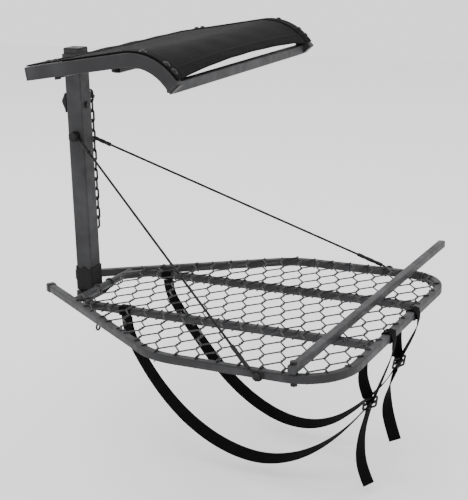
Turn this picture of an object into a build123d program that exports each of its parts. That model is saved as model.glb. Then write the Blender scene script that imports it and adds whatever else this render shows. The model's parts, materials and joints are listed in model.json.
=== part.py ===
"""Hang-on tree stand: a fold-up mesh deck, a flip-up sling seat, a swing-out bar and carry straps.

Millimetres. +X points away from the trunk, +Y across the deck to its left side, +Z up.
The origin lies on the trunk line, level with the centre line of the deck rails.
"""
from math import atan, cos, degrees, radians, sin, tan
import os

from build123d import *

os.makedirs("parts", exist_ok=True)

SIDES = {"right": -1, "left": 1}
RUN_FIT = 0.05                    # radial clearance of a turning fit

# ---- post ----
POST_X = 30.0
POST = 38.0
POST_WALL = 2.0
POST_BOTTOM, POST_TOP = -24.0, 509.0
FACE = POST / 2
BOLT_R = 5.0
SEAT_PIVOT_Z = 484.0
CABLE_BOLT_Z = 329.0
CLAW_Z = 393.0
BASE_X, BASE_Z = 24.0, -15.0
BOOT_BOTTOM, BOOT_TOP, BOOT_T = -8.0, 44.0, 2.5
EAR_IN, EAR_T, EAR_R = 22.0, 3.0, 11.0

# ---- chain ----
CHAIN_X, CHAIN_Y, CHAIN_TOP = 30.0, 45.0, 419.0
LINK_WIRE_R, LINK_W, LINK_PITCH, LINKS = 2.25, 16.0, 21.2, 14

# ---- deck ----
RAIL, RAIL_WALL = 16.0, 1.5
RAIL_Y, RAIL_REAR_Y = 323.5, 49.7
RAIL_REAR_X, BEND_X, FRONT_X = -38.0, 375.5, 736.5
BEND_R, CORNER_R = 150.0, 97.0
FRONT_HALF = 220.0
INNER, INNER_Y, INNER_Z, INNER_REAR_Y = 15.0, 122.0, 0.5, 78.0
FOLD_X, FOLD_R = 66.0, 8.0
DECK_TOP = RAIL / 2
MESH_T, MESH_REAR_X = 3.0, 80.0
CELL_X, CELL_Y = 42.6, 46.4       # lattice pitch of the mesh
CELL_AT = (487.0, -40.5)          # centre of one cell
HOLE_X, HOLE_SHOULDER, HOLE_TIP = 19.1, 11.4, 32.9
CABLE_X, CABLE_R, CABLE_EYE_Y = 595.0, 2.2, 337.0

# ---- swing-out bar ----
REST_X, REST_PIVOT_Y = 658.0, -323.5
REST_NEAR_Y, REST_FAR_Y = -331.0, 514.0
REST_BOTTOM = 11.3

# ---- seat ----
SEAT_Y, SEAT_W, SEAT_H, SEAT_WALL = 285.5, 19.0, 25.0, 1.6
SEAT_REAR, SEAT_CORNER, SEAT_TIP = (119.0, 500.0), (380.8, 540.5), (425.9, 486.8)
SEAT_BEND_R = 100.0
SEAT_FRONT = (411.0, 485.5)
CROSS_TUBES = {"rear": (135.0, 499.0), "mid": (179.0, 502.0), "front": (301.0, 515.0)}
SEAT_EAR_IN, SEAT_EAR_T = 19.6, 4.0
ARM_W = 16.0
SLING_T, SLING_HALF = 2.4, 292.0

# ---- webbing ----
WEB_W, WEB_T = 25.0, 2.0
TAIL_W = 25.0


def save(piece, label):
    """Label a finished piece and write its STEP file."""
    piece.label = label
    export_step(piece, f"parts/{label}.step")


def box_section(width, height, wall, radius=2.5):
    """Rounded box-tube section in the sketch in use."""
    RectangleRounded(width, height, radius)
    RectangleRounded(width - 2 * wall, height - 2 * wall, radius - 1, mode=Mode.SUBTRACT)


def start_plane(line):
    """Section plane at a path's start, with its local X up."""
    return Plane(origin=line @ 0, x_dir=(0, 0, 1), z_dir=line % 0)


def bolt(start, end, radius, head_r, head_t):
    """Bolt between two points: a shank, a hex head behind the start and a nut beyond the end."""
    axis = Vector(*end) - Vector(*start)
    with BuildPart() as made:
        with BuildSketch(Plane(origin=start, z_dir=axis)):
            Circle(radius)
        extrude(amount=axis.length)
        with BuildSketch(Plane(origin=start, z_dir=axis)):
            RegularPolygon(head_r, 6)
        extrude(amount=-head_t)
        with BuildSketch(Plane(origin=end, z_dir=axis)):
            RegularPolygon(head_r, 6)
        extrude(amount=head_t)
    return made.part


def washer(start, end, radius, bore):
    """Washer between two points."""
    axis = Vector(*end) - Vector(*start)
    with BuildPart() as made:
        with BuildSketch(Plane(origin=start, z_dir=axis)):
            Circle(radius)
            Circle(bore, mode=Mode.SUBTRACT)
        extrude(amount=axis.length)
    return made.part


def rod(start, end, radius):
    """Round rod between two points."""
    axis = Vector(*end) - Vector(*start)
    with BuildPart() as made:
        with BuildSketch(Plane(origin=start, z_dir=axis)):
            Circle(radius)
        extrude(amount=axis.length)
    return made.part


# =====================================================================
# Post and everything fixed to it
# =====================================================================
with BuildPart() as post_tube:
    with BuildSketch(Plane.XY.offset(POST_BOTTOM)):
        with Locations((POST_X, 0)):
            box_section(POST, POST, POST_WALL, 4.0)
    extrude(amount=POST_TOP - POST_BOTTOM)
    with BuildSketch(Plane.XZ):
        with Locations((POST_X, SEAT_PIVOT_Z), (POST_X, CABLE_BOLT_Z), (BASE_X, BASE_Z)):
            Circle(BOLT_R)
    extrude(amount=POST, both=True, mode=Mode.SUBTRACT)
    with BuildSketch(Plane.YZ):
        with Locations((0, CLAW_Z)):
            Circle(4)
    extrude(amount=2 * POST, mode=Mode.SUBTRACT)
save(post_tube.part, "post_tube")

with BuildPart() as post_cap:
    with BuildSketch(Plane.XY.offset(POST_TOP)):
        with Locations((POST_X, 0)):
            RectangleRounded(POST - 0.6, POST - 0.6, 4)
    extrude(amount=2.5)
    fillet(post_cap.faces().sort_by(Axis.Z)[-1].edges(), 1.0)
    with BuildSketch(Plane.XY.offset(POST_TOP)):
        with Locations((POST_X, 0)):
            box_section(POST - 2 * POST_WALL - 0.2, POST - 2 * POST_WALL - 0.2, 2.0, 2.9)
    extrude(amount=-12)
save(post_cap.part, "post_cap")

with BuildPart() as post_boot:
    with BuildSketch(Plane.XY.offset(BOOT_BOTTOM)):
        with Locations((POST_X, 0)):
            RectangleRounded(POST + 2 * BOOT_T, POST + 2 * BOOT_T, 6)
            RectangleRounded(POST, POST, 4, mode=Mode.SUBTRACT)
    extrude(amount=BOOT_TOP - BOOT_BOTTOM)
    with BuildSketch(Plane.XZ):
        with Locations((POST_X - 11, BOOT_TOP + 4), (POST_X + 11, BOOT_TOP + 4)):
            Circle(9)
    extrude(amount=POST, both=True, mode=Mode.SUBTRACT)
save(post_boot.part, "post_boot")

with BuildPart() as base_bracket:
    with BuildSketch(Plane.XZ):
        Polygon((12, -27.5), (50, -27.5), (76, -4), (58, 7), (53, -9), (12, -9), align=None)
        with Locations((FOLD_X, 0)):
            Circle(EAR_R)
            Circle(FOLD_R + RUN_FIT, mode=Mode.SUBTRACT)
    extrude(amount=EAR_IN + EAR_T, both=True)
    with Locations((POST_X + 20, 0, 0)):
        Box(100, 2 * EAR_IN, 2 * -POST_BOTTOM, mode=Mode.SUBTRACT)
    with BuildSketch(Plane.XZ):
        with Locations((POST_X, -16.75)):
            Rectangle(30, 14.5)
    extrude(amount=EAR_IN, both=True)
    with BuildSketch(Plane.XY.offset(POST_BOTTOM)):
        with Locations((POST_X, 0)):
            RectangleRounded(POST, POST, 4)
    extrude(amount=60, mode=Mode.SUBTRACT)
    with BuildSketch(Plane.XZ):
        with Locations((BASE_X, BASE_Z)):
            Circle(BOLT_R)
    extrude(amount=POST, both=True, mode=Mode.SUBTRACT)
save(base_bracket.part, "base_bracket")

BASE_OUT = EAR_IN + EAR_T
base_bolt = bolt((BASE_X, -BASE_OUT, BASE_Z), (BASE_X, BASE_OUT, BASE_Z), BOLT_R, 9.0, 6.0)
save(base_bolt, "base_bolt")

CABLE_POST_Y = 23.5
WASHER_OUT = CABLE_POST_Y + CABLE_R + 0.1
with BuildPart() as cable_bolt:
    add(bolt((POST_X, -WASHER_OUT, CABLE_BOLT_Z), (POST_X, WASHER_OUT, CABLE_BOLT_Z), BOLT_R, 10.5, 6.0))
save(cable_bolt.part, "cable_bolt")

with BuildPart() as cable_washers:
    for side in (-1, 1):
        inner = (POST_X, side * FACE, CABLE_BOLT_Z)
        outer = (POST_X, side * (CABLE_POST_Y - CABLE_R - 0.1), CABLE_BOLT_Z)
        add(washer(inner, outer, 11, BOLT_R))
save(cable_washers.part, "cable_washers")

PIVOT_OUT = SEAT_EAR_IN + SEAT_EAR_T + 0.3
seat_pivot_bolt = bolt((POST_X, -PIVOT_OUT, SEAT_PIVOT_Z), (POST_X, PIVOT_OUT, SEAT_PIVOT_Z), BOLT_R, 9.0, 6.0)
save(seat_pivot_bolt, "seat_pivot_bolt")

REAR = POST_X - FACE
with BuildPart() as tree_claw:
    with BuildSketch(Plane.YZ.offset(REAR - 3)):
        with Locations((0, 398)):
            Rectangle(POST, 40)
            with Locations((0, CLAW_Z - 398)):
                Circle(4, mode=Mode.SUBTRACT)
    extrude(amount=3)
    for side in (-1, 1):
        with BuildSketch(Plane.XZ.offset(-side * 15)):
            Polygon((REAR - 3, 418), (REAR - 3, 380), (0, 398), (0, 403), align=None)
        extrude(amount=2, both=True)
save(tree_claw.part, "tree_claw")

claw_bolt = bolt((REAR - 3, 0, CLAW_Z), (POST_X + FACE, 0, CLAW_Z), 4.0, 7.0, 4.0)
save(claw_bolt, "claw_bolt")

# The chain hangs on a pointed horn that stands off the post's left face.
with BuildPart() as chain_hook:
    with BuildSketch(Plane.XZ.offset(-FACE)):
        with Locations((POST_X + 2, 402)):
            RectangleRounded(26, 36, 4)
    extrude(amount=-3)
    with BuildSketch(Plane.YZ.offset(CHAIN_X)):
        Polygon((FACE + 3, 412), (FACE + 3, 386), (35, 398.5), (54, 398.5), (57, 397), (60, 402), (52, 410),
                (CHAIN_Y, 413.5), (36, 411), align=None)
    extrude(amount=2, both=True)
save(chain_hook.part, "chain_hook")


def chain_link(level, across):
    """One welded link, an oval ring of round wire whose width lies along the direction given."""
    bow = LINK_W / 2 - LINK_WIRE_R
    straight = LINK_PITCH / 2 + LINK_WIRE_R + 0.1 - bow
    side, up = Vector(*across), Vector(0, 0, 1)
    low = Vector(CHAIN_X, CHAIN_Y, level) - up * straight
    high = Vector(CHAIN_X, CHAIN_Y, level) + up * straight
    with BuildPart() as made:
        with BuildLine() as ring:
            Line(low + side * bow, high + side * bow)
            ThreePointArc(high + side * bow, high + up * bow, high - side * bow)
            Line(high - side * bow, low - side * bow)
            ThreePointArc(low - side * bow, low - up * bow, low + side * bow)
        with BuildSketch(Plane(origin=low + side * bow, z_dir=up)):
            Circle(LINK_WIRE_R)
        sweep(path=ring.line)
    return made.part


with BuildPart() as chain:
    for i in range(LINKS):
        across = (1, 0, 0) if i % 2 == 0 else (0, 1, 0)
        add(chain_link(CHAIN_TOP - 2 * LINK_WIRE_R - 0.1 - (i + 0.5) * LINK_PITCH, across))
save(chain.part, "chain")

# =====================================================================
# Deck
# =====================================================================
SLOPE = (RAIL_Y - RAIL_REAR_Y) / (BEND_X - RAIL_REAR_X)
DIAG = atan(SLOPE)


def diagonal_y(x):
    """Centre line of a rail's rear diagonal."""
    return RAIL_REAR_Y + (x - RAIL_REAR_X) * SLOPE


for name, side in SIDES.items():
    with BuildPart() as side_rail:
        with BuildLine() as path:
            FilletPolyline(
                (RAIL_REAR_X, side * RAIL_REAR_Y, 0),
                (BEND_X, side * RAIL_Y, 0),
                (FRONT_X, side * RAIL_Y, 0),
                (FRONT_X, side * FRONT_HALF, 0),
                radius=[BEND_R, CORNER_R],
            )
        with BuildSketch(start_plane(path.line)):
            box_section(RAIL, RAIL, RAIL_WALL)
        sweep(path=path.line)
        with BuildSketch(Plane.XZ.offset(-side * RAIL_Y)):
            with Locations((CABLE_X, 0)):
                Circle(4)
        extrude(amount=RAIL, both=True, mode=Mode.SUBTRACT)
        if name == "right":
            with BuildSketch(Plane.XY):
                with Locations((REST_X, REST_PIVOT_Y)):
                    Circle(4)
            extrude(amount=RAIL, both=True, mode=Mode.SUBTRACT)
    save(side_rail.part, f"side_rail_{name}")

with BuildPart() as front_bar:
    with BuildSketch(Plane.XZ):
        with Locations((FRONT_X, 0)):
            box_section(RAIL, RAIL, RAIL_WALL)
    extrude(amount=FRONT_HALF, both=True)
save(front_bar.part, "front_bar")

with BuildPart() as rear_cross_tube:
    with BuildSketch(Plane.XZ):
        with Locations((FOLD_X, 0)):
            Circle(FOLD_R)
            Circle(FOLD_R - 1.6, mode=Mode.SUBTRACT)
    extrude(amount=RAIL_Y / 2, both=True)
    inner_face = diagonal_y(FOLD_X) - RAIL / 2 / cos(DIAG)
    for side in (-1, 1):
        inward = (sin(DIAG), -side * cos(DIAG), 0)
        split(bisect_by=Plane(origin=(FOLD_X, side * inner_face, 0), z_dir=inward), keep=Keep.TOP)
save(rear_cross_tube.part, "rear_cross_tube")

for name, side in SIDES.items():
    with BuildPart() as inner_bar:
        with BuildLine() as path:
            FilletPolyline(
                (FRONT_X - RAIL / 2, side * INNER_Y, INNER_Z),
                (112, side * INNER_Y, INNER_Z),
                (FOLD_X, side * INNER_REAR_Y, INNER_Z),
                radius=45,
            )
        with BuildSketch(start_plane(path.line)):
            box_section(INNER, INNER, RAIL_WALL)
        sweep(path=path.line)
        with BuildSketch(Plane.XZ):
            with Locations((FOLD_X, 0)):
                Circle(FOLD_R)
                with Locations((-20 + 2, 0)):
                    Rectangle(40, 40)
        extrude(amount=RAIL_Y, both=True, mode=Mode.SUBTRACT)
    save(inner_bar.part, f"inner_bar_{name}")

with BuildPart() as rail_end_caps:
    for side in (-1, 1):
        along = (cos(DIAG), side * sin(DIAG), 0)
        end = Plane(origin=(RAIL_REAR_X, side * RAIL_REAR_Y, 0), x_dir=(0, 0, 1), z_dir=along)
        with BuildSketch(end.offset(-1.5)):
            RectangleRounded(RAIL + 3, RAIL + 3, 3.5)
        extrude(amount=12)
        with BuildSketch(end):
            RectangleRounded(RAIL, RAIL, 2.5)
        extrude(amount=12, mode=Mode.SUBTRACT)
save(rail_end_caps.part, "rail_end_caps")


def deck_outline(inset):
    """Outline of the deck, inside the rails' centre lines by the distance given, in the line in use."""
    rear_y = diagonal_y(MESH_REAR_X) - inset
    FilletPolyline(
        (MESH_REAR_X + inset, -rear_y),
        (BEND_X, inset - RAIL_Y),
        (FRONT_X - inset, inset - RAIL_Y),
        (FRONT_X - inset, RAIL_Y - inset),
        (BEND_X, RAIL_Y - inset),
        (MESH_REAR_X + inset, rear_y),
        radius=[BEND_R, CORNER_R - inset, CORNER_R - inset, BEND_R],
    )
    Line((MESH_REAR_X + inset, rear_y), (MESH_REAR_X + inset, -rear_y))


cells = []
for row in range(-7, 9):
    for column in range(-10, 7):
        cells.append((CELL_AT[0] + (column + row % 2 / 2) * CELL_X, CELL_AT[1] + row * CELL_Y))

with BuildPart() as deck_mesh:
    with BuildSketch(Plane.XY.offset(DECK_TOP)):
        with BuildLine():
            deck_outline(0)
        make_face()
    extrude(amount=MESH_T)
    with BuildSketch(Plane.XY.offset(DECK_TOP)):
        with Locations(*cells):
            Polygon((HOLE_X, -HOLE_SHOULDER), (HOLE_X, HOLE_SHOULDER), (0, HOLE_TIP),
                    (-HOLE_X, HOLE_SHOULDER), (-HOLE_X, -HOLE_SHOULDER), (0, -HOLE_TIP), align=None)
        with BuildLine():
            deck_outline(4)
        make_face(mode=Mode.INTERSECT)
        with Locations((REST_X, REST_PIVOT_Y)):
            Circle(9)
    extrude(amount=MESH_T, mode=Mode.SUBTRACT)
save(deck_mesh.part, "deck_mesh")

with BuildPart() as rail_ring:
    ring_y = -diagonal_y(171)
    add(rod((171, ring_y, -RAIL / 2), (171, ring_y, -12), 3))
    with Locations(Location((171, ring_y, -17), (0, 90, 0))):
        Torus(6, 2)
save(rail_ring.part, "rail_ring")

RAIL_OUT = RAIL_Y + RAIL / 2
with BuildPart() as anchor_bolts:
    for side in (-1, 1):
        inside = (CABLE_X, side * (RAIL_Y - RAIL / 2), 0)
        outside = (CABLE_X, side * (CABLE_EYE_Y + CABLE_R + 0.1), 0)
        add(bolt(inside, outside, 4.0, 8.0, 5.0))
save(anchor_bolts.part, "anchor_bolts")

with BuildPart() as anchor_spacers:
    for side in (-1, 1):
        outside = (CABLE_X, side * (CABLE_EYE_Y - CABLE_R - 0.1), 0)
        add(washer((CABLE_X, side * RAIL_OUT, 0), outside, 7.5, 4.0))
save(anchor_spacers.part, "anchor_spacers")

# Support cables: taut wire rope that leaves each crimped eye in the eye's own plane.
EYE_MAJOR, EYE_LEAD = 8.0, 16.0
for name, side in SIDES.items():
    top = Vector(POST_X, side * CABLE_POST_Y, CABLE_BOLT_Z)
    foot = Vector(CABLE_X, side * CABLE_EYE_Y, 0)
    flat = Vector(CABLE_X - POST_X, 0, -CABLE_BOLT_Z).normalized()
    top_lead, foot_lead = top + flat * EYE_LEAD, foot - flat * EYE_LEAD
    run = (foot_lead - top_lead).normalized()
    with BuildPart() as cable:
        for eye in (top, foot):
            with Locations(Location(tuple(eye), (90, 0, 0))):
                Torus(EYE_MAJOR, CABLE_R)
        with BuildLine() as rope:
            FilletPolyline(top + flat * EYE_MAJOR, top_lead, foot_lead, foot - flat * EYE_MAJOR, radius=12)
        with BuildSketch(Plane(origin=rope.line @ 0, z_dir=rope.line % 0)):
            Circle(CABLE_R)
        sweep(path=rope.line)
    save(cable.part, f"cable_{name}")
    with BuildPart() as sleeves:
        for start, end in ((top_lead + run * 4, top_lead + run * 42), (foot_lead - run * 64, foot_lead - run * 4)):
            add(washer(tuple(start), tuple(end), 4.2, CABLE_R))
    save(sleeves.part, f"cable_sleeves_{name}")
    print(f"cable_{name} radius {CABLE_R}, length {rope.wire().length:.0f}")

# =====================================================================
# Swing-out bar, turning on one bolt through the right rail
# =====================================================================
with BuildPart() as swing_bar:
    with BuildSketch(Plane.XZ.offset(-REST_NEAR_Y)):
        with Locations((REST_X, REST_BOTTOM + RAIL / 2)):
            box_section(RAIL, RAIL, RAIL_WALL)
    extrude(amount=REST_NEAR_Y - REST_FAR_Y)
    with BuildSketch(Plane.XY):
        with Locations((REST_X, REST_PIVOT_Y)):
            Circle(4 + RUN_FIT)
    extrude(amount=60, mode=Mode.SUBTRACT)
save(swing_bar.part, "swing_bar")

REST_TOP = REST_BOTTOM + RAIL
swing_bolt = bolt((REST_X, REST_PIVOT_Y, REST_TOP + 0.3), (REST_X, REST_PIVOT_Y, -RAIL / 2), 4.0, 7.0, 5.0)
save(swing_bolt, "swing_bolt")
swing_washer = washer((REST_X, REST_PIVOT_Y, DECK_TOP), (REST_X, REST_PIVOT_Y, REST_BOTTOM - 0.1), 7.5, 4.0)
save(swing_washer, "swing_washer")

# =====================================================================
# Seat
# =====================================================================
PITCH = atan((SEAT_CORNER[1] - SEAT_REAR[1]) / (SEAT_CORNER[0] - SEAT_REAR[0]))
DROP = atan((SEAT_CORNER[1] - SEAT_TIP[1]) / (SEAT_TIP[0] - SEAT_CORNER[0]))
SEAT_IN = SEAT_Y - SEAT_W / 2

for name, side in SIDES.items():
    with BuildPart() as seat_rail:
        with BuildLine() as path:
            FilletPolyline(
                (SEAT_REAR[0], side * SEAT_Y, SEAT_REAR[1]),
                (SEAT_CORNER[0], side * SEAT_Y, SEAT_CORNER[1]),
                (SEAT_TIP[0], side * SEAT_Y, SEAT_TIP[1]),
                radius=SEAT_BEND_R,
            )
        with BuildSketch(Plane(origin=path.line @ 0, x_dir=(0, 1, 0), z_dir=path.line % 0)):
            box_section(SEAT_W, SEAT_H, SEAT_WALL)
        sweep(path=path.line)
    save(seat_rail.part, f"seat_rail_{name}")

with BuildPart() as seat_front_bar:
    with BuildSketch(Plane.XZ):
        with Locations(SEAT_FRONT):
            box_section(SEAT_W, SEAT_W, SEAT_WALL)
    extrude(amount=SEAT_IN, both=True)
save(seat_front_bar.part, "seat_front_bar")

for name, (x, z) in CROSS_TUBES.items():
    with BuildPart() as seat_cross:
        with BuildSketch(Plane.XZ):
            with Locations((x, z)):
                box_section(RAIL, RAIL, RAIL_WALL)
        extrude(amount=SEAT_IN, both=True)
    save(seat_cross.part, f"seat_cross_{name}")

ARM_IN = SEAT_EAR_IN + SEAT_EAR_T
for name, side in SIDES.items():
    with BuildPart() as seat_arm:
        with BuildSketch(Plane.YZ.offset(50)):
            with Locations((side * (ARM_IN + ARM_W / 2), SEAT_PIVOT_Z + 2)):
                box_section(ARM_W, ARM_W, RAIL_WALL)
        extrude(amount=259)
        with BuildSketch(Plane.XZ):
            for x, z in CROSS_TUBES.values():
                with Locations((x, z)):
                    Rectangle(RAIL, RAIL)
        extrude(amount=RAIL_Y, both=True, mode=Mode.SUBTRACT)
    save(seat_arm.part, f"seat_arm_{name}")

# Short uprights carry the front cross tube on the arms.
with BuildPart() as seat_risers:
    for side in (-1, 1):
        with BuildSketch(Plane.XY.offset(SEAT_PIVOT_Z + 2 + ARM_W / 2)):
            with Locations((CROSS_TUBES["front"][0], side * (ARM_IN + ARM_W / 2))):
                RectangleRounded(ARM_W, ARM_W, 2)
        extrude(amount=CROSS_TUBES["front"][1] - RAIL / 2 - SEAT_PIVOT_Z - 2 - ARM_W / 2)
save(seat_risers.part, "seat_risers")

with BuildPart() as seat_ears:
    with BuildSketch(Plane.XZ):
        Polygon((12, 500), (12, 464), (66, 464), (82, 476), (82, 500), align=None)
        with Locations((POST_X, SEAT_PIVOT_Z)):
            Circle(BOLT_R + RUN_FIT, mode=Mode.SUBTRACT)
    extrude(amount=ARM_IN, both=True)
    with Locations((POST_X + 30, 0, SEAT_PIVOT_Z)):
        Box(200, 2 * SEAT_EAR_IN, 100, mode=Mode.SUBTRACT)
save(seat_ears.part, "seat_ears")

CAPS = {
    "seat_front_caps": (SEAT_TIP, Vector(cos(DROP), 0, -sin(DROP)), 3.0),
    "seat_rear_caps": (SEAT_REAR, Vector(-cos(PITCH), 0, -sin(PITCH)), 2.0),
}
for label, (spot, out, thick) in CAPS.items():
    with BuildPart() as seat_caps:
        for side in (-1, 1):
            end = Plane(origin=(spot[0], side * SEAT_Y, spot[1]), x_dir=(0, 1, 0), z_dir=out)
            with BuildSketch(end):
                RectangleRounded(SEAT_W, SEAT_H, 2.5)
            extrude(amount=thick)
            with BuildSketch(end):
                RectangleRounded(SEAT_W - 2 * SEAT_WALL - 0.2, SEAT_H - 2 * SEAT_WALL - 0.2, 1.3)
            extrude(amount=-10)
    save(seat_caps.part, label)

# Hex heads under the rails, where the cross tubes' through bolts end.
with BuildPart() as seat_rail_bolts:
    for side in (-1, 1):
        for x in (CROSS_TUBES["mid"][0], CROSS_TUBES["front"][0]):
            z = SEAT_REAR[1] + (x - SEAT_REAR[0]) * tan(PITCH)
            under = (x + SEAT_H / 2 * sin(PITCH), side * SEAT_Y, z - SEAT_H / 2 * cos(PITCH))
            with BuildSketch(Plane(origin=under, z_dir=(sin(PITCH), 0, -cos(PITCH)))):
                RegularPolygon(6.5, 6)
            extrude(amount=5)
save(seat_rail_bolts.part, "seat_rail_bolts")

# Plugs close the swing-out bar's ends.
with BuildPart() as swing_bar_plugs:
    for y, out in ((REST_NEAR_Y, -1), (REST_FAR_Y, 1)):
        with BuildSketch(Plane(origin=(REST_X, y, REST_BOTTOM + RAIL / 2), x_dir=(1, 0, 0), z_dir=(0, out, 0))):
            RectangleRounded(RAIL - 0.6, RAIL - 0.6, 2.2)
        extrude(amount=1.6)
        with BuildSketch(Plane(origin=(REST_X, y, REST_BOTTOM + RAIL / 2), x_dir=(1, 0, 0), z_dir=(0, out, 0))):
            RectangleRounded(RAIL - 2 * RAIL_WALL - 0.2, RAIL - 2 * RAIL_WALL - 0.2, 1.2)
        extrude(amount=-3)
save(swing_bar_plugs.part, "swing_bar_plugs")

# The sling follows the rails' top faces.
SLING_MID = SEAT_H / 2 + 0.2 + SLING_T / 2
UP_REAR = (-sin(PITCH) * SLING_MID, cos(PITCH) * SLING_MID)
LIFT = SLING_MID / cos((PITCH + DROP) / 2)
LEAN = (DROP - PITCH) / 2
with BuildPart() as sling:
    with BuildLine() as path:
        FilletPolyline(
            (SEAT_REAR[0] + UP_REAR[0], 0, SEAT_REAR[1] + UP_REAR[1]),
            (SEAT_CORNER[0] + LIFT * sin(LEAN), 0, SEAT_CORNER[1] + LIFT * cos(LEAN)),
            (SEAT_TIP[0] + SLING_MID * sin(DROP) - 5, 0, SEAT_TIP[1] + SLING_MID * cos(DROP) + 6),
            radius=SEAT_BEND_R + SLING_MID,
        )
    with BuildSketch(Plane(origin=path.line @ 0, x_dir=(0, 1, 0), z_dir=path.line % 0)):
        Rectangle(2 * SLING_HALF, SLING_T)
    sweep(path=path.line)
save(sling.part, "sling")
sling_path = path.wire()
print(f"sling flat length {sling_path.length:.0f}, width {2 * SLING_HALF:.0f}")

with BuildPart() as sling_bolts:
    for along in (0.15, 0.19, 0.75, 0.84, 0.88):
        spot = sling_path @ along
        heading = sling_path % along
        out = Vector(-heading.Z, 0, heading.X)
        for side in (-1, 1):
            with BuildSketch(Plane(origin=spot + Vector(0, side * SEAT_Y, 0) + out * (SLING_T / 2), z_dir=out)):
                Circle(4.5)
            extrude(amount=2.5, taper=20)
save(sling_bolts.part, "sling_bolts")

# =====================================================================
# Webbing: a hanging loop, a loop round the front bar and a tail on each side
# =====================================================================
BUCKLE_AT = {"right": (702, -66, -140), "left": (708, 82, -108)}
LONG_STRAP = {
    "right": [(198, -122, -12), (199, -122, -42), (222, -121, -88), (258, -117, -147), (306, -112, -204),
              (362, -105, -249), (424, -98, -278), (486, -92, -288), (546, -85, -276), (596, -79, -250),
              (638, -73, -216), (670, -69, -182), (692, -66, -154)],
    "left": [(157, 122, -12), (158, 122, -40), (186, 120, -80), (222, 117, -122), (264, 114, -172),
             (314, 111, -222), (374, 107, -262), (440, 101, -286), (504, 96, -288), (560, 93, -268),
             (608, 89, -232), (650, 86, -190), (684, 83, -150), (699, 82, -122)],
}
FRONT_LOOP = {
    "right": [(727, -62, -12), (705, -62, -27), (690, -63, -52), (685, -64, -84), (691, -65, -112), (698, -66, -127)],
    "left": [(727, 78, -12), (712, 79, -26), (705, 80, -48), (703, 81, -72), (705, 82, -94)],
}
TAIL = {
    "right": [(700, -67, -152), (692, -69, -180), (686, -71, -212), (685, -74, -246), (692, -78, -278),
              (706, -82, -304)],
    "left": [(704, 81, -120), (694, 78, -144), (688, 75, -172), (687, 72, -204), (693, 69, -234), (708, 64, -272)],
}


def corner_radii(points):
    """One radius per corner, so that the arcs take most of the shorter run beside each."""
    radii = []
    for before, corner, after in zip(points, points[1:], points[2:]):
        come, go = Vector(*corner) - Vector(*before), Vector(*after) - Vector(*corner)
        radii.append(0.45 * min(come.length, go.length) / tan(radians(come.get_angle(go)) / 2))
    return radii


def webbing(points, width):
    """Flat webbing along a route of straight runs joined by tangent arcs."""
    radii = corner_radii(points)
    with BuildPart() as made:
        with BuildLine() as route:
            FilletPolyline(*points, radius=radii)
        heading = route.line % 0
        across = Vector(0, 1, 0)
        with BuildSketch(Plane(origin=route.line @ 0, x_dir=across - heading * heading.dot(across), z_dir=heading)):
            Rectangle(width, WEB_T)
        sweep(path=route.line)
    print(f"webbing length {route.wire().length:.0f}, bend radii {[round(r) for r in radii]}")
    return made.part


for name in SIDES:
    for kind, table in (("long", LONG_STRAP), ("loop", FRONT_LOOP), ("tail", TAIL)):
        strap = webbing(table[name], WEB_W)
        save(strap, f"strap_{kind}_{name}")

with BuildPart() as strap_wraps:
    for name, side in SIDES.items():
        bar_x = LONG_STRAP[name][0][0]
        with BuildSketch(Plane.YZ.offset(bar_x - WEB_W / 2)):
            with Locations((side * INNER_Y, INNER_Z)):
                RectangleRounded(INNER + 0.6 + 2 * WEB_T, INNER + 0.6 + 2 * WEB_T, 3)
                RectangleRounded(INNER + 0.6, INNER + 0.6, 2, mode=Mode.SUBTRACT)
        extrude(amount=WEB_W)
        bar_y = FRONT_LOOP[name][0][1]
        with BuildSketch(Plane.XZ.offset(-bar_y - WEB_W / 2)):
            with Locations((FRONT_X, 0)):
                RectangleRounded(RAIL + 0.6 + 2 * WEB_T, RAIL + 0.6 + 2 * WEB_T, 3)
                RectangleRounded(RAIL + 0.6, RAIL + 0.6, 2, mode=Mode.SUBTRACT)
        extrude(amount=WEB_W)
save(strap_wraps.part, "strap_wraps")

for name in SIDES:
    with BuildPart() as buckle:
        with BuildSketch(Plane(origin=BUCKLE_AT[name], x_dir=(0, 1, 0), z_dir=(1, 0, -0.4))):
            RectangleRounded(33, 18, 3)
            with GridLocations(0, 8, 1, 2):
                RectangleRounded(26, 3.6, 1, mode=Mode.SUBTRACT)
        extrude(amount=1.8, both=True)
    save(buckle.part, f"buckle_{name}")
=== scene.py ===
"""The looks of the hang-on tree stand: wire mesh, wire rope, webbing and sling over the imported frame.

Metres, in the row frame: +X away from the trunk, +Y to the stand's left, +Z up.
"""
import json
from math import atan, cos, hypot, pi, sin, tan

import bpy
from mathutils import Matrix, Vector


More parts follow.
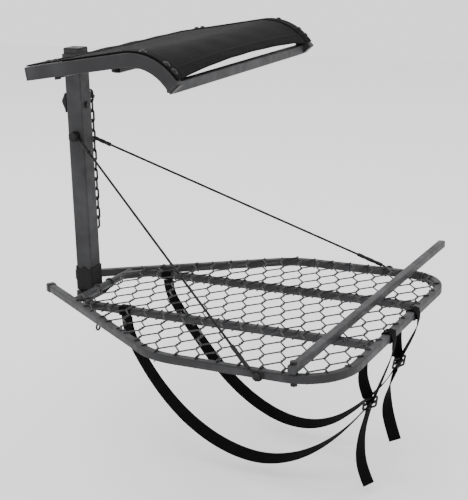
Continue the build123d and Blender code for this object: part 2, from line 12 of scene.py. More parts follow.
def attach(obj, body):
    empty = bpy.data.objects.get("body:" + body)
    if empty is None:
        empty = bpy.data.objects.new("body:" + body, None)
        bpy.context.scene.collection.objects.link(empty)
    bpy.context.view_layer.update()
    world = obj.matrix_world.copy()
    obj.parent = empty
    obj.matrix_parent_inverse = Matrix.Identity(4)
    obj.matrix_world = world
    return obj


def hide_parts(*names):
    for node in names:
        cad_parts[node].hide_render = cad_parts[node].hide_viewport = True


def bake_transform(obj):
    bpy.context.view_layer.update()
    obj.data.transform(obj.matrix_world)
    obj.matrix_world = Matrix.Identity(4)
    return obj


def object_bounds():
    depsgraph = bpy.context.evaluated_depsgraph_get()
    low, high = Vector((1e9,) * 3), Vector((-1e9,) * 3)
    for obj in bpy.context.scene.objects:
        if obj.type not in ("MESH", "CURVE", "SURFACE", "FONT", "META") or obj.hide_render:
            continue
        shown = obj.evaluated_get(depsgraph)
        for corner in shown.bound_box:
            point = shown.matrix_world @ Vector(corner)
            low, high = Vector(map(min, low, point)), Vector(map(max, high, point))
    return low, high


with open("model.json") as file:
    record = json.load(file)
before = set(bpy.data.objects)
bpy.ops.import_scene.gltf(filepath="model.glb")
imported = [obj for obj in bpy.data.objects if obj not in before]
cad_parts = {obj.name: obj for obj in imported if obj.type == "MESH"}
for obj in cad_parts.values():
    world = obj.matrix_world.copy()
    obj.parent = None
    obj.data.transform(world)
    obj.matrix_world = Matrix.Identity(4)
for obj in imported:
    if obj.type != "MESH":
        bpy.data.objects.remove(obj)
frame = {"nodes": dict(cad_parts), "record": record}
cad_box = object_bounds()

MM = 0.001
SIDES = {"right": -1, "left": 1}
ACROSS = Vector((0, 1, 0))

# ---- camera: where the stand is seen from ----
CAMERA_AT = Vector((1.4752, -2.1358, 0.8103))
RIGHT = Vector((0.89357, 0.44816, -0.02601))
UP = Vector((-0.10263, 0.26036, 0.96004))
BACK = Vector((0.43703, -0.85520, 0.27865))
cam_data = bpy.data.cameras.new("camera")
cam_data.sensor_fit = "VERTICAL"
cam_data.sensor_height = 36.0
cam_data.lens = 88.95
camera = bpy.data.objects.new("camera", cam_data)
camera.matrix_world = Matrix((
    (RIGHT.x, UP.x, BACK.x, CAMERA_AT.x),
    (RIGHT.y, UP.y, BACK.y, CAMERA_AT.y),
    (RIGHT.z, UP.z, BACK.z, CAMERA_AT.z),
    (0, 0, 0, 1),
))
bpy.context.scene.collection.objects.link(camera)
bpy.context.scene.camera = camera


# ---- mesh helpers ----
BOX_FACES = ((0, 1, 3, 2), (4, 6, 7, 5), (0, 4, 5, 1), (2, 3, 7, 6), (0, 2, 6, 4), (1, 5, 7, 3))


class Shape:
    """Collects vertices and faces for one piece."""

    def __init__(self):
        self.verts, self.faces = [], []

    def ring(self, centre, u, v, radius, sides):
        """Adds a ring of vertices and returns the number of its first one."""
        first = len(self.verts)
        for k in range(sides):
            a = 2 * pi * k / sides
            self.verts.append(centre + (u * cos(a) + v * sin(a)) * radius)
        return first

    def skin(self, a, b, count, flip=False):
        """Joins two loops of count vertices, which start at a and b."""
        for k in range(count):
            n = (k + 1) % count
            self.faces.append((a + k, b + k, b + n, a + n) if flip else (a + k, a + n, b + n, b + k))

    def cap(self, first, count, flip=False):
        """Closes a loop of count vertices."""
        loop = tuple(range(first, first + count))
        self.faces.append(loop[::-1] if flip else loop)

    def tube(self, points, radius, sides=8, closed=False):
        """Round tube along the points."""
        points = [Vector(p) for p in points]
        count = len(points)
        rings = []
        u = None
        for i, p in enumerate(points):
            before = points[i - 1] if i or closed else p
            after = points[(i + 1) % count] if i < count - 1 or closed else p
            t = (after - before).normalized()
            if u is None:
                u = t.orthogonal().normalized()
            u = (u - t * u.dot(t)).normalized()
            rings.append(self.ring(p, u, t.cross(u), radius, sides))
        for i in range(count if closed else count - 1):
            self.skin(rings[i], rings[(i + 1) % count], sides)
        if not closed:
            self.cap(rings[0], sides, flip=True)
            self.cap(rings[-1], sides)

    def box(self, centre, u, v, w):
        """Box with half-size vectors u, v and w."""
        first = len(self.verts)
        for i in (-1, 1):
            for j in (-1, 1):
                for k in (-1, 1):
                    self.verts.append(centre + u * i + v * j + w * k)
        for face in BOX_FACES:
            self.faces.append(tuple(first + q for q in face))

    def make(self, name, material):
        """The finished piece, smooth shaded."""
        mesh = bpy.data.meshes.new(name)
        mesh.from_pydata([tuple(v) for v in self.verts], [], self.faces)
        mesh.validate()
        mesh.update()
        mesh.polygons.foreach_set("use_smooth", [True] * len(mesh.polygons))
        mesh.materials.append(material)
        piece = bpy.data.objects.new(name, mesh)
        bpy.context.scene.collection.objects.link(piece)
        return piece


# ---- materials ----
HARD_SPECULAR, CLOTH_SPECULAR = 0.22, 0.07
RUBBED = 1.9    # how much lighter a worn edge is than the coat


class Nodes:
    """A principled material with short calls for its texture nodes."""

    def __init__(self, name, base, rough, metallic=0.0):
        self.material = bpy.data.materials.new(name)
        self.material.use_nodes = True
        self.tree = self.material.node_tree
        self.shader = self.tree.nodes["Principled BSDF"]
        self.shader.inputs["Base Color"].default_value = (*base, 1)
        self.shader.inputs["Roughness"].default_value = rough
        self.shader.inputs["Metallic"].default_value = metallic
        self.shader.inputs["Specular IOR Level"].default_value = HARD_SPECULAR
        self.coord = self.tree.nodes.new("ShaderNodeTexCoord")

    def link(self, a, b):
        self.tree.links.new(a, b)

    def noise(self, scale, detail=4.0):
        node = self.tree.nodes.new("ShaderNodeTexNoise")
        node.inputs["Scale"].default_value = scale
        node.inputs["Detail"].default_value = detail
        self.link(self.coord.outputs["Object"], node.inputs["Vector"])
        return node.outputs["Fac"]

    def wave(self, scale, direction):
        node = self.tree.nodes.new("ShaderNodeTexWave")
        node.bands_direction = direction
        node.inputs["Scale"].default_value = scale
        self.link(self.coord.outputs["Object"], node.inputs["Vector"])
        return node.outputs["Fac"]

    def ramp(self, value, stops):
        """Maps a value through stops of (place, shade), each shade a grey or a colour."""
        node = self.tree.nodes.new("ShaderNodeValToRGB")
        ramp = node.color_ramp
        for i, (place, shade) in enumerate(stops):
            stop = ramp.elements[i] if i < 2 else ramp.elements.new(place)
            stop.position = place
            stop.color = (*shade, 1) if hasattr(shade, "__len__") else (shade, shade, shade, 1)
        self.link(value, node.inputs["Fac"])
        return node.outputs["Color"]

    def math(self, kind, a, b):
        node = self.tree.nodes.new("ShaderNodeMath")
        node.operation = kind
        for socket, value in zip(node.inputs, (a, b)):
            if isinstance(value, (int, float)):
                socket.default_value = value
            else:
                self.link(value, socket)
        return node.outputs[0]

    def bump(self, height, strength, distance):
        node = self.tree.nodes.new("ShaderNodeBump")
        node.inputs["Strength"].default_value = strength
        node.inputs["Distance"].default_value = distance
        self.link(height, node.inputs["Height"])
        self.link(node.outputs["Normal"], self.shader.inputs["Normal"])


def coat(name, dark, light, rough=0.5, grain=900.0, strength=0.35):
    """Powder coat: fine orange peel, faint mottling, and edges rubbed a little lighter."""
    m = Nodes(name, light, rough)
    mottle = m.noise(scale=14.0, detail=6.0)
    geometry = m.tree.nodes.new("ShaderNodeNewGeometry")
    edge = m.ramp(geometry.outputs["Pointiness"], [(0.50, 0.0), (0.60, 0.35)])
    rubbed = tuple(min(1, c * RUBBED) for c in light)
    tone = m.ramp(m.math("ADD", mottle, edge), [(0.30, dark), (0.75, light), (1.0, rubbed)])
    m.link(tone, m.shader.inputs["Base Color"])
    sheen = m.ramp(m.noise(scale=60.0), [(0.3, rough - 0.08), (0.7, rough + 0.1)])
    m.link(sheen, m.shader.inputs["Roughness"])
    m.bump(m.noise(grain, detail=2.0), strength, distance=0.0002)
    return m.material


def steel(name, dark, light, rough, metallic=0.9):
    """Plated steel: dull patches and fine scratches."""
    m = Nodes(name, light, rough, metallic)
    patches = m.ramp(m.noise(scale=70.0, detail=8.0), [(0.35, dark), (0.65, light)])
    m.link(patches, m.shader.inputs["Base Color"])
    sheen = m.ramp(m.noise(scale=180.0), [(0.3, rough - 0.1), (0.7, rough + 0.15)])
    m.link(sheen, m.shader.inputs["Roughness"])
    m.bump(m.noise(scale=700.0, detail=3.0), strength=0.3, distance=0.0002)
    return m.material


def cloth(name, dark, light, pitch, rough=0.85):
    """Plain weave: two crossed bands of yarn with a slubby tone."""
    m = Nodes(name, light, rough)
    weave = m.math("MULTIPLY", m.wave(pitch, "X"), m.wave(pitch, "Y"))
    slub = m.noise(scale=40.0, detail=6.0)
    tone = m.math("ADD", m.math("MULTIPLY", weave, 0.5), m.math("MULTIPLY", slub, 0.6))
    m.link(m.ramp(tone, [(0.25, dark), (0.75, light)]), m.shader.inputs["Base Color"])
    m.bump(weave, strength=0.6, distance=0.0005)
    m.shader.inputs["Specular IOR Level"].default_value = CLOTH_SPECULAR
    return m.material


MATERIALS = {
    "grey_coat": coat("grey_coat", (0.0165, 0.0165, 0.0175), (0.0215, 0.0215, 0.023)),
    "black_steel": steel("black_steel", (0.008, 0.008, 0.008), (0.02, 0.02, 0.021), 0.42, 0.4),
    "black_plastic": coat("black_plastic", (0.003, 0.003, 0.003), (0.006, 0.006, 0.006), 0.45, 500.0, 0.2),
    "black_rubber": coat("black_rubber", (0.003, 0.003, 0.003), (0.006, 0.006, 0.006), 0.72, 300.0, 0.4),
    "chain_steel": steel("chain_steel", (0.02, 0.02, 0.02), (0.07, 0.07, 0.068), 0.45),
    "wire_rope": steel("wire_rope", (0.004, 0.004, 0.004), (0.02, 0.02, 0.021), 0.45, 0.4),
    "webbing": cloth("webbing", (0.001, 0.001, 0.001), (0.004, 0.004, 0.0042), 300.0),
    "sling_fabric": cloth("sling_fabric", (0.0022, 0.0022, 0.0023), (0.0055, 0.0055, 0.0058), 260.0, 0.7),
    "thread": cloth("thread", (0.012, 0.012, 0.012), (0.03, 0.03, 0.03), 800.0),
}
for entry in frame["record"]["subparts"]:
    node = frame["nodes"][entry["node"]]
    node.data.materials.clear()
    node.data.materials.append(MATERIALS[entry["material_slot"]])


# ---- webbing: route points in millimetres, from where each strap leaves the stand ----
WEB_W, WEB_T = 0.025, 0.002
SELVEDGE_ROLL = 0.35    # how much thinner the webbing is at its edges
CORD_WIDTHS = 6         # a slack strand no longer than this many widths is listed with the pieces on its buckle
LONG_STRAP = {
    "right": [(198, -122, -12), (199, -122, -42), (222, -121, -88), (258, -117, -147), (306, -112, -204),
              (362, -105, -249), (424, -98, -278), (486, -92, -288), (546, -85, -276), (596, -79, -250),
              (638, -73, -216), (670, -69, -182), (692, -66, -154)],
    "left": [(157, 122, -12), (158, 122, -40), (186, 120, -80), (222, 117, -122), (264, 114, -172),
             (314, 111, -222), (374, 107, -262), (440, 101, -286), (504, 96, -288), (560, 93, -268),
             (608, 89, -232), (650, 86, -190), (684, 83, -150), (699, 82, -122)],
}
FRONT_LOOP = {
    "right": [(727, -62, -12), (705, -62, -27), (690, -63, -52), (685, -64, -84), (691, -65, -112),
              (698, -66, -127)],
    "left": [(727, 78, -12), (712, 79, -26), (705, 80, -48), (703, 81, -72), (705, 82, -94)],
}
TAIL = {
    "right": [(700, -67, -152), (692, -69, -180), (686, -71, -212), (685, -74, -246), (692, -78, -278),
              (706, -82, -304)],
    "left": [(704, 81, -120), (694, 78, -144), (688, 75, -172), (687, 72, -204), (693, 69, -234),
             (708, 64, -272)],
}
SLACK_STRAND = {
    "right": [(736, -62, 11.5), (748, -62, 10), (749, -62, -26), (724, -64, -92), (706, -66, -137)],
    "left": [(736, 79, 11.5), (748, 79, 10), (749, 80, -20), (732, 81, -58), (711, 82, -98)],
}
BUCKLE_FOLD = {
    "right": [(697, -66, -124), (699, -66, -131), (704, -66, -140), (699, -67, -149), (698, -67, -156)],
    "left": [(705, 82, -92), (706, 82, -100), (711, 82, -108), (706, 82, -116), (703, 81, -124)],
}
BUCKLE_AT = {"right": (702, -66, -140), "left": (708, 82, -108)}

# Angles in radians: a buckle's turn about Z, and a tail's twist where it starts and where it ends.
BUCKLE_LEAN = {"right": 0.5, "left": 0.4}
TAIL_TURN = {"right": (0.1, 0.6), "left": (-0.45, 1.1)}

GLIDE_U, GLIDE_V, GLIDE_CORNER = 0.0135, 0.008, 0.003
GLIDE_FRAME_R, GLIDE_BAR_R = 0.0022, 0.0026
RIB_PITCH, RIB_PROUD, RIB_HALF = 0.0033, 0.0020, (0.0006, 0.0016, 0.0010)


def tri_glide(name, centre, lean):
    """Moulded slide buckle: a rounded frame with a ribbed middle bar."""
    u = Vector((sin(lean), cos(lean), 0))
    v = Vector((0.25, 0, 1)).normalized()
    v = (v - u * v.dot(u)).normalized()
    n = u.cross(v)
    shape = Shape()
    outline = []
    for quarter, (su, sv) in enumerate(((1, 1), (-1, 1), (-1, -1), (1, -1))):
        for k in range(5):
            a = pi / 2 * (quarter + k / 4)
            outline.append(centre + u * (su * GLIDE_U + GLIDE_CORNER * cos(a))
                           + v * (sv * GLIDE_V + GLIDE_CORNER * sin(a)))
    shape.tube(outline, GLIDE_FRAME_R, 10, closed=True)
    bar = u * (GLIDE_U + GLIDE_CORNER)
    shape.tube([centre - bar, centre + bar], GLIDE_BAR_R, 10)
    for k in range(-4, 5):
        rib = centre + u * k * RIB_PITCH + n * RIB_PROUD
        shape.box(rib, u * RIB_HALF[0], v * RIB_HALF[1], n * RIB_HALF[2])
    return shape.make(name, MATERIALS["black_plastic"])


def spline_points(points):
    """Points along the smooth line through a strap's route."""
    curve = bpy.data.curves.new("route", "CURVE")
    curve.dimensions = "3D"
    curve.resolution_u = 8
    spline = curve.splines.new("NURBS")
    spline.points.add(len(points) - 1)
    for target, p in zip(spline.points, points):
        target.co = (*(c * MM for c in p), 1)
    spline.order_u = 3
    spline.use_endpoint_u = True
    carrier = bpy.data.objects.new("route", curve)
    bpy.context.scene.collection.objects.link(carrier)
    bpy.context.view_layer.update()
    mesh = bpy.data.meshes.new_from_object(carrier)
    line = [v.co.copy() for v in mesh.vertices]
    bpy.data.objects.remove(carrier)
    return line


def length_of(line):
    """Length of a polyline."""
    return sum((b - a).length for a, b in zip(line, line[1:]))


def ribbon(name, line, turn_from, turn_to, width=WEB_W):
    """Webbing along a line, with rolled selvedges. Its width starts across the stand, turned by turn_from."""
    shape = Shape()
    profile = []
    for k in range(9):
        s = -1 + k / 4
        profile.append((s, 0.5 * (1 - SELVEDGE_ROLL * abs(s) ** 6)))
    section = profile + [(s, -h) for s, h in reversed(profile)]
    size, last = len(section), len(line) - 1
    for i, p in enumerate(line):
        t = (line[min(i + 1, last)] - line[max(i - 1, 0)]).normalized()
        across = (ACROSS - t * ACROSS.dot(t)).normalized()
        share = i / last
        turn = turn_from + (turn_to - turn_from) * share * share * (3 - 2 * share)
        across = across * cos(turn) + t.cross(across) * sin(turn)
        out = t.cross(across)
        for s, h in section:
            shape.verts.append(p + across * s * width / 2 + out * h * WEB_T)
        if i:
            shape.skin((i - 1) * size, i * size, size)
    shape.cap(0, size)
    shape.cap(last * size, size, flip=True)
    return shape.make(name, MATERIALS["webbing"])


def buckle_of(name):
    """The slide buckle where a side's strap, loop and tail meet."""
    glide = tri_glide(f"tri_glide_{name}", Vector(BUCKLE_AT[name]) * MM, BUCKLE_LEAN[name])
    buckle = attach(glide, "platform")
    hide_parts(f"buckle_{name}")
    return buckle


for name in SIDES:
    loop_line = spline_points(FRONT_LOOP[name])
    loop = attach(ribbon(f"front_loop_{name}", loop_line, 0.0, 0.6), "platform")
    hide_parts(f"strap_loop_{name}")
    line = spline_points(LONG_STRAP[name])
    slack_line = spline_points(SLACK_STRAND[name])
    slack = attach(ribbon(f"slack_strand_{name}", slack_line, 0.0, -0.35), "platform")
    fold_line = spline_points(BUCKLE_FOLD[name])
    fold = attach(ribbon(f"buckle_fold_{name}", fold_line, 0.3, 0.1, WEB_W * 0.96), "platform")
    pieces_on = [loop, fold, buckle_of(name)]
    if length_of(slack_line) > CORD_WIDTHS * WEB_W:
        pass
    else:
        pieces_on.append(slack)
    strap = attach(ribbon(f"long_strap_{name}", line, pi / 2, 0.05), "platform")
    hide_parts(f"strap_long_{name}")
    tail_line = spline_points(TAIL[name])
    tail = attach(ribbon(f"tail_{name}", tail_line, *TAIL_TURN[name]), "platform")
    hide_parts(f"strap_tail_{name}")


# ---- deck mesh: twisted bonds and single diagonals, clipped over the rails ----
RAIL_Y, RAIL_REAR_Y = 0.3235, 0.0497
RAIL_REAR_X, BEND_X, FRONT_X = -0.038, 0.3755, 0.7365
CORNER_R = 0.097
SLOPE = (RAIL_Y - RAIL_REAR_Y) / (BEND_X - RAIL_REAR_X)
RAIL_HALF = 0.008
INNER_HALF, INNER_Y, INNER_Z = 0.0075, 0.122, 0.0005
MESH_MID, MESH_REAR_X = 0.0095, 0.082
CELL_X, CELL_Y = 0.0426, 0.0464
CELL_AT = (0.487, -0.0405)
ROWS, COLUMNS, BAR_COLUMNS = range(-8, 10), range(-11, 8), range(-9, 6)
SHOULDER, TIP = 0.0112, 0.0352
BOND_R, BOND_OFFSET, BOND_TURN, BOND_STEPS = 0.0014, 0.0013, 2.5 * pi, 12
DIAGONAL_R, DIAGONAL_ARCH = 0.0015, 0.0002
CLIP_R = 0.0012
CLIP_LEAN = 0.004
FRONT_BAND, REAR_BAND = 0.020, 0.012    # how near to the front or rear edge a cut end belongs to it

# Outlines of a clip, as shares of its half-size: outward or sideways, and up.
RAIL_CLIP = ((0.3, 1.0), (-0.6, 1.0), (-0.93, 0.93), (-1.0, 0.6), (-1.0, -0.6), (-0.93, -0.93),
             (-0.6, -1.0), (0.3, -1.0))
BAR_CLIP = ((0.0, 1.0), (0.6, 1.0), (0.93, 0.93), (1.0, 0.6), (1.0, -0.6), (0.93, -0.93), (0.6, -1.0),
            (-0.6, -1.0), (-0.93, -0.93), (-1.0, -0.6), (-1.0, 0.6), (-0.93, 0.93), (0.0, 1.0))


def diagonal_y(x):
    """Centre line of a rail's rear diagonal."""
    return RAIL_REAR_Y + (x - RAIL_REAR_X) * SLOPE


def on_deck(x, y):
    """Whether a point lies inside the rails' centre lines."""
    if x < MESH_REAR_X or x > FRONT_X or abs(y) > RAIL_Y or abs(y) > diagonal_y(x):
        return False
    dx, dy = x - (FRONT_X - CORNER_R), abs(y) - (RAIL_Y - CORNER_R)
    return dx < 0 or dy < 0 or hypot(dx, dy) < CORNER_R


def between(a, b, share):
    """Point on the deck that lies a share of the way from a to b."""
    return a[0] + (b[0] - a[0]) * share, a[1] + (b[1] - a[1]) * share


def clip(a, b):
    """The two ends of the part of a wire that lies on the deck, and the end that was cut, if one was."""
    inside_a, inside_b = on_deck(*a), on_deck(*b)
    if not inside_a and not inside_b:
        return None
    if inside_a and inside_b:
        return a, b, None
    keep, lose = (a, b) if inside_a else (b, a)
    low, high = 0.0, 1.0
    for _ in range(12):
        mid = (low + high) / 2
        if on_deck(*between(keep, lose, mid)):
            low = mid
        else:
            high = mid
    cut = between(keep, lose, low)
    return keep, cut, cut


def outward(x, y):
    """Direction from the deck to the rail beside a cut end; None along the open rear edge."""
    side = 1 if y > 0 else -1
    if x > FRONT_X - FRONT_BAND:
        return Vector((1, 0, 0))
    if x > FRONT_X - CORNER_R:
        return Vector((x - FRONT_X + CORNER_R, y - side * (RAIL_Y - CORNER_R), 0)).normalized()
    if x > BEND_X:
        return Vector((0, side, 0))
    if x > MESH_REAR_X + REAR_BAND:
        return Vector((-SLOPE, side, 0)).normalized()
    return None


wires = Shape()
cut_ends = []
for row in ROWS:
    for column in COLUMNS:
        cx = CELL_AT[0] + (column + row % 2 / 2) * CELL_X
        cy = CELL_AT[1] + row * CELL_Y
        bond = clip((cx + CELL_X / 2, cy - SHOULDER), (cx + CELL_X / 2, cy + SHOULDER))
        if bond:
            a, b, cut = bond
            for phase in (0, pi):
                twist = []
                for i in range(BOND_STEPS + 1):
                    x, y = between(a, b, i / BOND_STEPS)
                    angle = phase + BOND_TURN * i / BOND_STEPS
                    twist.append((x + BOND_OFFSET * cos(angle), y, MESH_MID + BOND_OFFSET * sin(angle)))
                wires.tube(twist, BOND_R, 6)
            if cut:
                cut_ends.append(cut)
        for sign in (-1, 1):
            diagonal = clip((cx + sign * CELL_X / 2, cy + SHOULDER), (cx, cy + TIP))
            if diagonal:
                a, b, cut = diagonal
                middle = (*between(a, b, 0.5), MESH_MID + DIAGONAL_ARCH)
                wires.tube([(*a, MESH_MID), middle, (*b, MESH_MID)], DIAGONAL_R, 6)
                if cut:
                    cut_ends.append(cut)

for x, y in cut_ends:
    out = outward(x, y)
    if out is None:
        continue
    half = RAIL_HALF + CLIP_R
    wires.tube([Vector((x, y, 0)) + out * u * half + Vector((0, 0, z * half)) for u, z in RAIL_CLIP],
               CLIP_R, 6)

# Loose ends of the mesh also go round the inner bars.
for side in SIDES.values():
    for column in BAR_COLUMNS:
        x = CELL_AT[0] + (column + 0.5 * (side + 1) / 2) * CELL_X
        half = INNER_HALF + CLIP_R
        wires.tube([(x + CLIP_LEAN * z, side * INNER_Y + u * half, INNER_Z + z * half) for u, z in BAR_CLIP],
                   CLIP_R, 6)
wire_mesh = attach(wires.make("wire_mesh", MATERIALS["grey_coat"]), "platform")
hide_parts("deck_mesh")


# ---- support cables: seven-strand wire rope with a looped eye at each end ----
POST_X, CABLE_POST_Y, CABLE_Z = 0.030, 0.0235, 0.329
CABLE_X, CABLE_RAIL_Y = 0.595, 0.337
EYE, LEAD, EYE_STEPS = 0.008, 0.016, 24
ROPE_STEP = 0.0022
CRIMP_GAP, TOP_CRIMP_END, FOOT_CRIMP_END, CRIMP_SIDES = 0.004, 0.042, 0.064, 16

# Outline of a crimp sleeve: share of its length and radius, with two pressed waists.
CRIMP = ((0, 0.0028), (0, 0.0038), (0.03, 0.0042), (0.22, 0.0042), (0.26, 0.0037), (0.34, 0.0037),
         (0.38, 0.0042), (0.62, 0.0042), (0.66, 0.0037), (0.74, 0.0037), (0.78, 0.0042), (0.97, 0.0042),
         (1, 0.0038), (1, 0.0028))


def rope(shape, points, pitch=0.022, radius=0.00165, strand=0.00088, strands=6):
    """Twisted strands round a polyline."""
    fine = []
    for a, b in zip(points, points[1:]):
        steps = max(1, int((b - a).length / ROPE_STEP))
        fine += [a.lerp(b, i / steps) for i in range(steps)]
    fine.append(points[-1])
    u = (fine[1] - fine[0]).normalized().orthogonal().normalized()
    frames, run = [], 0.0
    for i, p in enumerate(fine):
        t = (fine[min(i + 1, len(fine) - 1)] - fine[max(i - 1, 0)]).normalized()
        u = (u - t * u.dot(t)).normalized()
        if i:
            run += (p - fine[i - 1]).length
        frames.append((p, u.copy(), t.cross(u), run))
    for k in range(strands):
        line = []
        for p, a, b, distance in frames:
            angle = 2 * pi * (distance / pitch + k / strands)
            line.append(p + (a * cos(angle) + b * sin(angle)) * radius)
        shape.tube(line, strand, 5)
    shape.tube(fine, strand, 5)


for name, side in SIDES.items():
    top = Vector((POST_X, side * CABLE_POST_Y, CABLE_Z))
    foot = Vector((CABLE_X, side * CABLE_RAIL_Y, 0))
    flat = Vector((CABLE_X - POST_X, 0, -CABLE_Z)).normalized()
    lift = Vector((-flat.z, 0, flat.x))
    top_lead, foot_lead = top + flat * LEAD, foot - flat * LEAD
    run = (foot_lead - top_lead).normalized()
    cable_shape = Shape()
    rope(cable_shape, [top + flat * EYE, top_lead, foot_lead, foot - flat * EYE])
    for centre, way in ((top, 1), (foot, -1)):
        eye = []
        for i in range(EYE_STEPS + 1):
            a = 2 * pi * i / EYE_STEPS
            eye.append(centre + flat * way * EYE * cos(a) + lift * EYE * sin(a))
        rope(cable_shape, eye)
    cable = cable_shape.make(f"wire_rope_{name}", MATERIALS["wire_rope"])
    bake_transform(cable)
    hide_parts(f"cable_{name}")
    crimp_shape = Shape()
    u = run.orthogonal().normalized()
    v = run.cross(u)
    for start, end in ((top_lead + run * CRIMP_GAP, top_lead + run * TOP_CRIMP_END),
                       (foot_lead - run * FOOT_CRIMP_END, foot_lead - run * CRIMP_GAP)):
        rings = [crimp_shape.ring(start.lerp(end, t), u, v, r, CRIMP_SIDES) for t, r in CRIMP]
        for a, b in zip(rings, rings[1:]):
            crimp_shape.skin(a, b, CRIMP_SIDES)
    sleeves = crimp_shape.make(f"crimps_{name}", MATERIALS["black_plastic"])
    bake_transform(sleeves)
    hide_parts(f"cable_sleeves_{name}")


# ---- sling: stretched over the seat rails, sagging between them, with hems and stitching ----
SEAT_REAR, SEAT_CORNER, SEAT_TIP = (0.119, 0.500), (0.3808, 0.5405), (0.4259, 0.4868)
PITCH = atan((SEAT_CORNER[1] - SEAT_REAR[1]) / (SEAT_CORNER[0] - SEAT_REAR[0]))
DROP = atan((SEAT_CORNER[1] - SEAT_TIP[1]) / (SEAT_TIP[0] - SEAT_CORNER[0]))
SEAT_RAIL_HALF, SLING_LIFT = 0.0127, 0.0012
RISE = SEAT_RAIL_HALF + SLING_LIFT
BEND = 0.100
SETBACK = BEND * tan((PITCH + DROP) / 2)
ARC_FROM = (SEAT_CORNER[0] - SETBACK * cos(PITCH), SEAT_CORNER[1] - SETBACK * sin(PITCH))
ARC_CENTRE = (ARC_FROM[0] + BEND * sin(PITCH), ARC_FROM[1] - BEND * cos(PITCH))
STRAIGHT = hypot(ARC_FROM[0] - SEAT_REAR[0], ARC_FROM[1] - SEAT_REAR[1])
ARC = (BEND + RISE) * (PITCH + DROP)
FRONT_RUN = 0.006
SLING_L = STRAIGHT + ARC + FRONT_RUN
SLING_HALF, SLING_T = 0.2905, 0.0014
FREE_HALF = 0.276                            # half the width that hangs free between the rails
SAG, SAG_REACH, FRONT_BOW = 0.0065, 1.05, 0.040
RIPPLE, RIPPLE_Y, RIPPLE_S, RIPPLE_PHASE = 0.0007, 62, 47, 1.3
HEM, FRONT_HEM, REAR_HEM, HEM_T = 0.030, 0.024, 0.022, 0.0010
SIDE_HEM_ABOVE, END_HEM_ABOVE, HEM_PROUD = 0.0012, 0.0010, 0.0004
CELLS_ALONG, CELLS_ACROSS = 64, 96
STITCH_PITCH, STITCH_L, STITCH_SHIFT = 0.0045, 0.003, 0.2
STITCH_ABOVE, STITCH_ARCH, THREAD_R = 0.0019, 0.0003, 0.00035
SIDE_SEAMS = (0.004, 0.025)                  # in from each side edge
END_SEAMS = (0.004, 0.018, SLING_L - 0.020, SLING_L - 0.004)
SCREWS_AT = (0.045, 0.060, SLING_L - 0.085, SLING_L - 0.035, SLING_L - 0.016)
SCREW_INSET, SCREW_SIDES = 0.0075, 18
SCREW = ((0.0, 0.0070), (0.0012, 0.0070), (0.0015, 0.0064), (0.0016, 0.0045), (0.0032, 0.0042),
         (0.0040, 0.0030), (0.0042, 0.0012))    # height and radius, from the washer up to the dome


def over_rails(s):
    """Point and upward normal, as (x, z) pairs, at a distance along the rails' top from the rear."""
    if s < STRAIGHT:
        normal = (-sin(PITCH), cos(PITCH))
        spot = (SEAT_REAR[0] + s * cos(PITCH), SEAT_REAR[1] + s * sin(PITCH))
        return (spot[0] + normal[0] * RISE, spot[1] + normal[1] * RISE), normal
    angle = min((s - STRAIGHT) / (BEND + RISE), PITCH + DROP) - PITCH
    normal = (sin(angle), cos(angle))
    spot = (ARC_CENTRE[0] + (BEND + RISE) * sin(angle), ARC_CENTRE[1] + (BEND + RISE) * cos(angle))
    beyond = max(0.0, s - STRAIGHT - ARC)
    return (spot[0] + beyond * cos(angle), spot[1] - beyond * sin(angle)), normal


def sling_point(s, y, above=0.0):
    """Point of the sagging sling; its front edge bows back between the rails."""
    free = max(0.0, 1 - (y / FREE_HALF) ** 2)
    t = min(1.0, max(0.0, s / SLING_L))
    (x, z), normal = over_rails(s * (1 - FRONT_BOW * free * t ** 3))
    ripple = RIPPLE * sin(y * RIPPLE_Y) * sin(s * RIPPLE_S + RIPPLE_PHASE) * free
    sag = SAG * free * max(0.0, sin(pi * min(1, t * SAG_REACH))) ** 0.8 + ripple
    lift = above - sag
    return Vector((x + normal[0] * lift, y, z + normal[1] * lift))


def patch(shape, s0, s1, y0, y1, above, thick, ns, ny):
    """Closed slab of cloth over part of the sling, in ns by ny cells."""
    base = len(shape.verts)
    for level in (above + thick / 2, above - thick / 2):
        for i in range(ns + 1):
            for j in range(ny + 1):
                shape.verts.append(sling_point(s0 + (s1 - s0) * i / ns, y0 + (y1 - y0) * j / ny, level))
    row, layer = ny + 1, (ns + 1) * (ny + 1)

    def wall(a, b, flip):
        """One face of the rim, between neighbouring places a and b."""
        quad = (a, a + layer, b + layer, b)
        shape.faces.append(quad[::-1] if flip else quad)

    for i in range(ns):
        for j in range(ny):
            a = base + i * row + j
            shape.faces.append((a, a + row, a + row + 1, a + 1))
            b = a + layer
            shape.faces.append((b, b + 1, b + row + 1, b + row))
    for i in range(ns):
        for j, flip in ((0, False), (ny, True)):
            wall(base + i * row + j, base + (i + 1) * row + j, flip)
    for j in range(ny):
        for i, flip in ((0, True), (ns, False)):
            wall(base + i * row + j, base + i * row + j + 1, flip)


def stitch(shape, s0, y0, s1, y1):
    """One short raised stitch between two places on the sling."""
    a, b = sling_point(s0, y0, STITCH_ABOVE), sling_point(s1, y1, STITCH_ABOVE)
    middle = a.lerp(b, 0.5) + Vector((0, 0, STITCH_ARCH))
    shape.tube([a, middle, b], THREAD_R, 4)


sheet_shape = Shape()
patch(sheet_shape, 0, SLING_L, -SLING_HALF, SLING_HALF, 0, SLING_T, CELLS_ALONG, CELLS_ACROSS)
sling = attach(sheet_shape.make("sling_sheet", MATERIALS["sling_fabric"]), "seat")
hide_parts("sling")

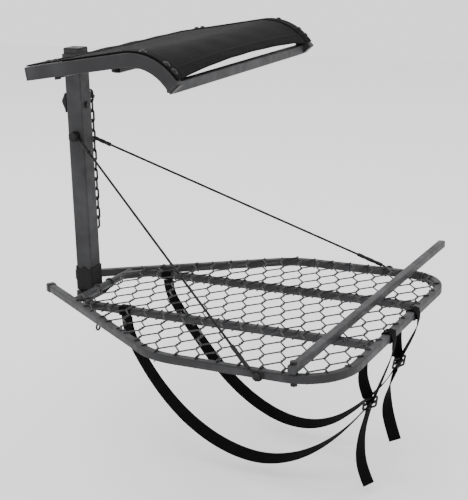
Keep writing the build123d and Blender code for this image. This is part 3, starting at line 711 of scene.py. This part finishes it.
hem_shape = Shape()
for side in SIDES.values():
    edge = side * (SLING_HALF + HEM_PROUD)
    near, far = sorted((edge, edge - side * HEM))
    patch(hem_shape, 0, SLING_L, near, far, SIDE_HEM_ABOVE, HEM_T, CELLS_ALONG, 4)
for rear, front in ((SLING_L - FRONT_HEM, SLING_L + HEM_PROUD), (-HEM_PROUD, REAR_HEM)):
    patch(hem_shape, rear, front, -SLING_HALF, SLING_HALF, END_HEM_ABOVE, HEM_T, 6, CELLS_ACROSS)
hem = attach(hem_shape.make("sling_hem", MATERIALS["sling_fabric"]), "seat")

stitch_shape = Shape()
for side in SIDES.values():
    for inset in SIDE_SEAMS:
        y = side * (SLING_HALF - inset)
        for i in range(int(SLING_L / STITCH_PITCH)):
            s = (i + STITCH_SHIFT) * STITCH_PITCH
            stitch(stitch_shape, s, y, s + STITCH_L, y)
for s in END_SEAMS:
    for i in range(int(2 * SLING_HALF / STITCH_PITCH)):
        y = -SLING_HALF + (i + STITCH_SHIFT) * STITCH_PITCH
        stitch(stitch_shape, s, y, s, y + STITCH_L)
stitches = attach(stitch_shape.make("sling_stitches", MATERIALS["thread"]), "seat")

# Domed screws on wide washers hold the sling's sides to the rails.
screw_shape = Shape()
for side in SIDES.values():
    for s in SCREWS_AT:
        (x, z), normal = over_rails(s)
        out = Vector((normal[0], 0, normal[1]))
        along = Vector((normal[1], 0, -normal[0]))
        washer_at = Vector((x, side * (SLING_HALF - SCREW_INSET), z)) + out * SLING_T
        rings = [screw_shape.ring(washer_at + out * height, along, ACROSS, radius, SCREW_SIDES)
                 for height, radius in SCREW]
        for a, b in zip(rings, rings[1:]):
            screw_shape.skin(a, b, SCREW_SIDES, flip=True)
        screw_shape.cap(rings[0], SCREW_SIDES)
        screw_shape.cap(rings[-1], SCREW_SIDES, flip=True)
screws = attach(screw_shape.make("sling_screws", MATERIALS["black_steel"]), "seat")
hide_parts("sling_bolts")


# ---- floor and lights ----
FLOOR_HALF, FLOOR_GAP = 6, 0.02
AIM = Vector((0.35, 0, 0.15))
LIGHTS = (    # name, place, size and power
    ("key", (0.6, -2.4, 4.2), 3.0, 75),
    ("fill", (3.4, 1.6, 2.6), 3.0, 30),
    ("rim", (-2.4, 1.6, 3.2), 2.0, 40),
)
floor_mesh = bpy.data.meshes.new("floor")
floor_mesh.from_pydata([(FLOOR_HALF * i, FLOOR_HALF * j, 0) for i, j in ((-1, -1), (1, -1), (1, 1), (-1, 1))],
                       [], [(0, 1, 2, 3)])
floor = bpy.data.objects.new("floor", floor_mesh)
floor.location.z = cad_box[0][2] - FLOOR_GAP
floor_mesh.materials.append(Nodes("floor", (0.93, 0.93, 0.93), 0.9).material)
bpy.context.scene.collection.objects.link(floor)

world = bpy.data.worlds.new("world")
world.use_nodes = True
sky = world.node_tree.nodes["Background"]
sky.inputs["Color"].default_value = (1, 1, 1, 1)
sky.inputs["Strength"].default_value = 1.5
bpy.context.scene.world = world
for label, place, size, power in LIGHTS:
    lamp = bpy.data.lights.new(label, "AREA")
    lamp.size = size
    lamp.energy = power
    lamp_object = bpy.data.objects.new(label, lamp)
    lamp_object.location = place
    lamp_object.rotation_euler = (AIM - Vector(place)).to_track_quat("-Z", "Y").to_euler()
    bpy.context.scene.collection.objects.link(lamp_object)
